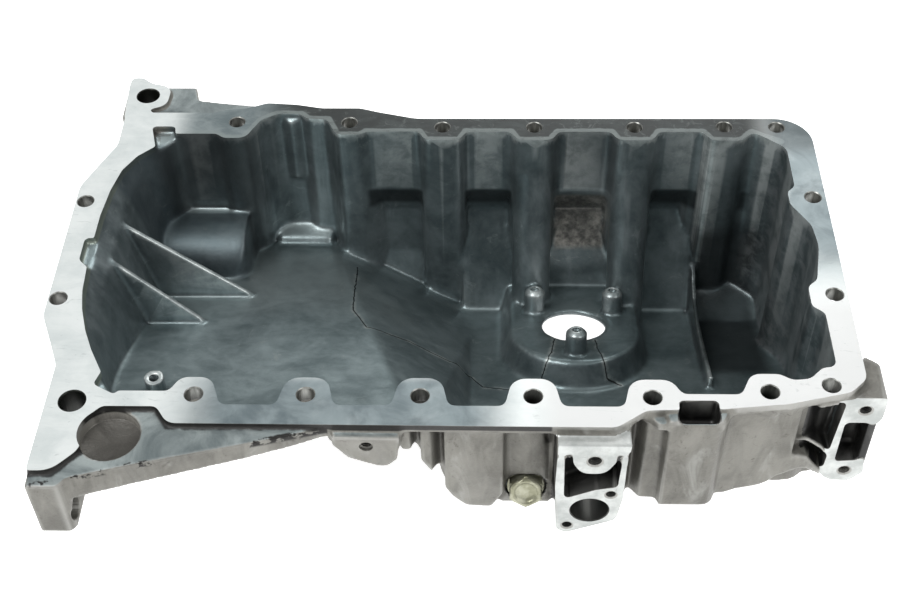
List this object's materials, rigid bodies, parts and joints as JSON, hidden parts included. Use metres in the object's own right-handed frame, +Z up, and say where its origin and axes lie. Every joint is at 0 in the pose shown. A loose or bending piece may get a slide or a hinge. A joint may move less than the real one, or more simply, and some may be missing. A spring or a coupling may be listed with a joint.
{
  "type": "engine oil pan",
  "caption": "Cast aluminium engine sump with a machined joint rail, deep and shallow floors, a drain plug with washer, and a sensor opening.",
  "frame": {"origin": "on the plane of the machined rail, in the middle of the opening", "axes": "+X towards the timing end, +Y across the pan away from the drain plug, +Z up, out of the open side"},
  "size_m": [0.4349, 0.3064, 0.1521],
  "materials": {
    "cast_aluminium": "rough cast, machined on the joint faces",
    "zinc_steel": "yellow zinc plated",
    "washer_metal": "satin"
  },
  "bodies": {
    "pan": {"pan_casting": "cast_aluminium"},
    "washer_body": {"drain_washer": "washer_metal"},
    "plug_body": {"drain_plug": "zinc_steel"}
  },
  "joints": [
    {"name": "plug_slide", "type": "slide", "parent": "pan", "child": "washer_body", "axis": [0, -0.9429, 0.333], "range_m": [0, 0.014]},
    {"name": "plug_turn", "type": "hinge", "parent": "washer_body", "child": "plug_body", "pos_m": [0.0204, -0.1079, -0.0651], "axis": [0, -0.9429, 0.333], "range_deg": [0, 3360]}
  ],
  "couplings": [
    {"joint": "plug_turn", "follows": "plug_slide", "rad_per_m": 4188.8}
  ]
}
